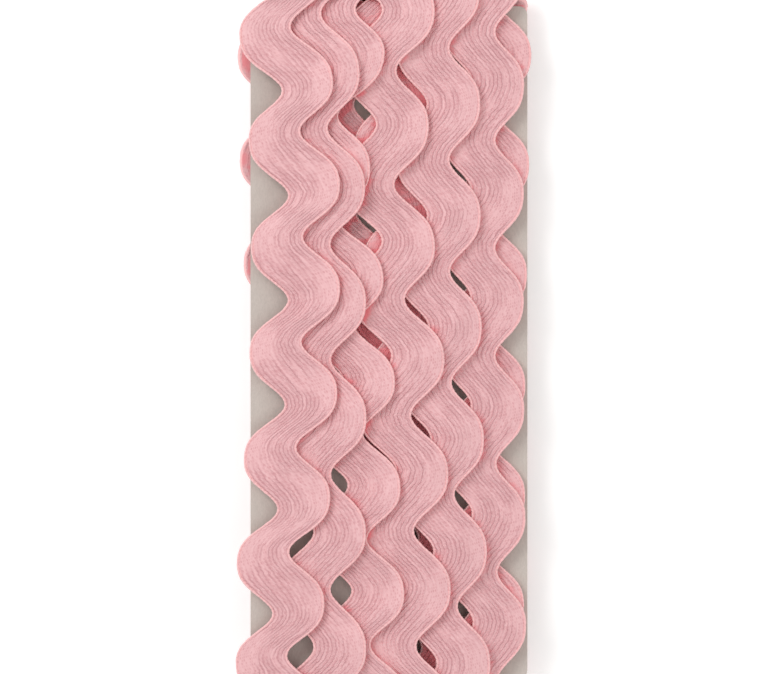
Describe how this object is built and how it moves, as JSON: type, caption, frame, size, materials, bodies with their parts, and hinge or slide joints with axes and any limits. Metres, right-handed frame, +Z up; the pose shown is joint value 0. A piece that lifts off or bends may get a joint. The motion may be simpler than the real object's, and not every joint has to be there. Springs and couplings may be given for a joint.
{
  "type": "ric rac trim wound on a card",
  "caption": "Wavy woven ric rac trim wound lengthwise round a flat plain card in overlapping turns, lying on its back.",
  "frame": {"origin": "on the surface that the winding lies on, under the middle of its bounding box", "axes": "+Y along the card towards the picture's upper fold, +X across the card towards the picture's right, +Z up through the front of the winding"},
  "size_m": [0.052, 0.1312, 0.0157],
  "materials": {
    "pink_polyester_braid": "matte",
    "grey_board": "matte"
  },
  "bodies": {
    "root": {"ric_rac_trim": "pink_polyester_braid", "winding_card": "grey_board"}
  },
  "joints": []
}
